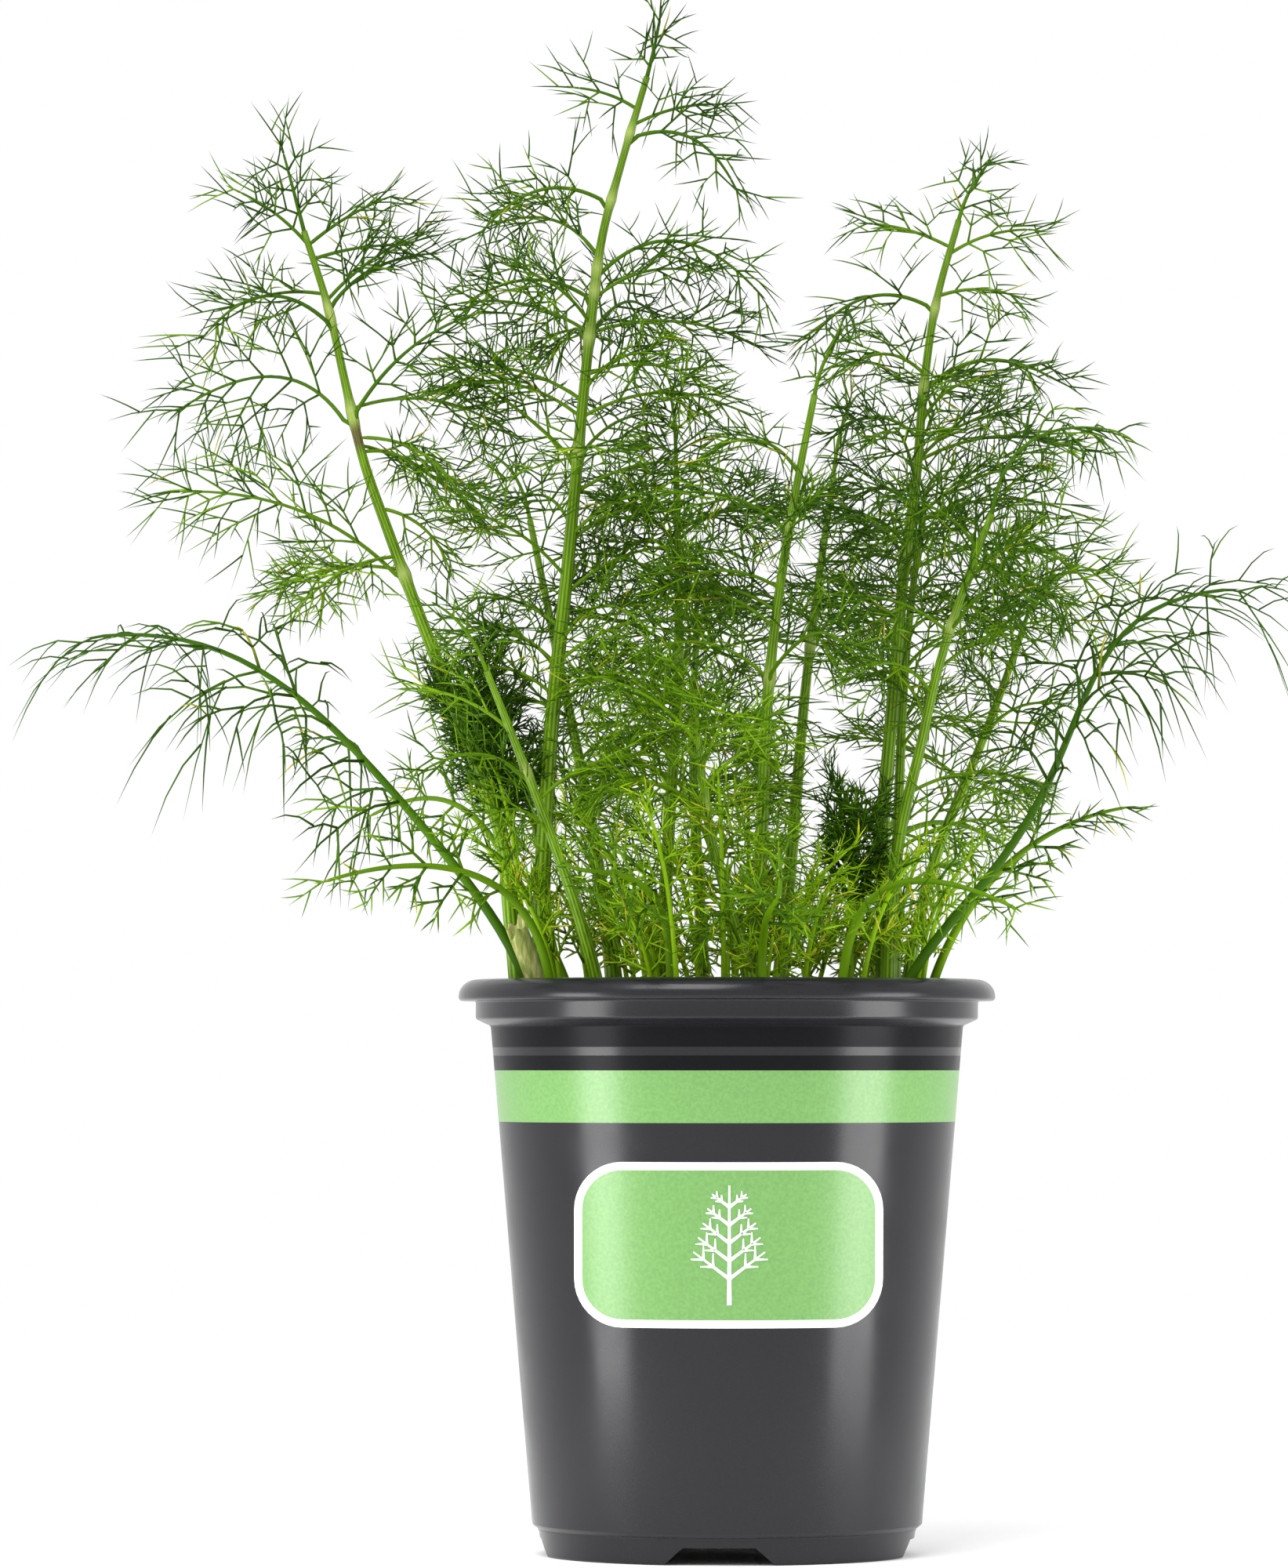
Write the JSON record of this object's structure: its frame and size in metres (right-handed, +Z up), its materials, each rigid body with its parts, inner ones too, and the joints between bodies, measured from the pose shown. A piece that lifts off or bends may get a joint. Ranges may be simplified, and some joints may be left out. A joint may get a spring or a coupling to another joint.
{
  "type": "potted dill plant",
  "caption": "Dill plant with upright green stems and feathery leaves, growing in soil in a thin tapered black plastic pot with a green band.",
  "frame": {"origin": "the middle of the whole object's footprint, leaves included, on the surface the pot stands on", "axes": "+Z up along the pot's axis; -Y towards the side seen first; +X to the right"},
  "size_m": [0.2452, 0.1718, 0.2989],
  "materials": {
    "pot_plastic": "gloss",
    "soil_mix": "matte",
    "stem_green": "satin",
    "leaf_green": "satin",
    "cut_stalk": "matte"
  },
  "bodies": {
    "root": {"basal_leaf_1": "leaf_green", "basal_leaf_2": "leaf_green", "basal_leaf_3": "leaf_green", "basal_leaf_4": "leaf_green", "basal_leaf_5": "leaf_green", "basal_leaf_6": "leaf_green", "basal_leaf_7": "leaf_green", "basal_leaf_8": "leaf_green", "basal_leaf_9": "leaf_green", "cut_stub": "cut_stalk", "pot": "pot_plastic", "potting_soil": "soil_mix", "stem_1": "stem_green", "stem_10": "stem_green", "stem_10_crown_leaf": "leaf_green", "stem_10_leaf_1": "leaf_green", "stem_11": "stem_green", "stem_11_crown_leaf": "leaf_green", "stem_11_leaf_1": "leaf_green", "stem_12": "stem_green", "stem_12_crown_leaf": "leaf_green", "stem_13": "stem_green", "stem_13_crown_leaf": "leaf_green", "stem_13_leaf_1": "leaf_green", "stem_1_crown_leaf": "leaf_green", "stem_1_leaf_1": "leaf_green", "stem_1_leaf_2": "leaf_green", "stem_1_leaf_3": "leaf_green", "stem_1_leaf_4": "leaf_green", "stem_1_leaf_5": "leaf_green", "stem_2": "stem_green", "stem_2_crown_leaf": "leaf_green", "stem_2_leaf_1": "leaf_green", "stem_2_leaf_2": "leaf_green", "stem_2_leaf_3": "leaf_green", "stem_2_leaf_4": "leaf_green", "stem_2_leaf_5": "leaf_green", "stem_2_leaf_6": "leaf_green", "stem_3": "stem_green", "stem_3_crown_leaf": "leaf_green", "stem_3_leaf_1": "leaf_green", "stem_4": "stem_green", "stem_4_crown_leaf": "leaf_green", "stem_4_leaf_1": "leaf_green", "stem_5": "stem_green", "stem_5_crown_leaf": "leaf_green", "stem_5_leaf_1": "leaf_green", "stem_5_leaf_2": "leaf_green", "stem_6": "stem_green", "stem_6_crown_leaf": "leaf_green", "stem_6_leaf_1": "leaf_green", "stem_6_leaf_2": "leaf_green", "stem_6_leaf_3": "leaf_green", "stem_7": "stem_green", "stem_7_crown_leaf": "leaf_green", "stem_8": "stem_green", "stem_8_crown_leaf": "leaf_green", "stem_8_leaf_1": "leaf_green", "stem_9": "stem_green", "stem_9_crown_leaf": "leaf_green"}
  },
  "joints": []
}
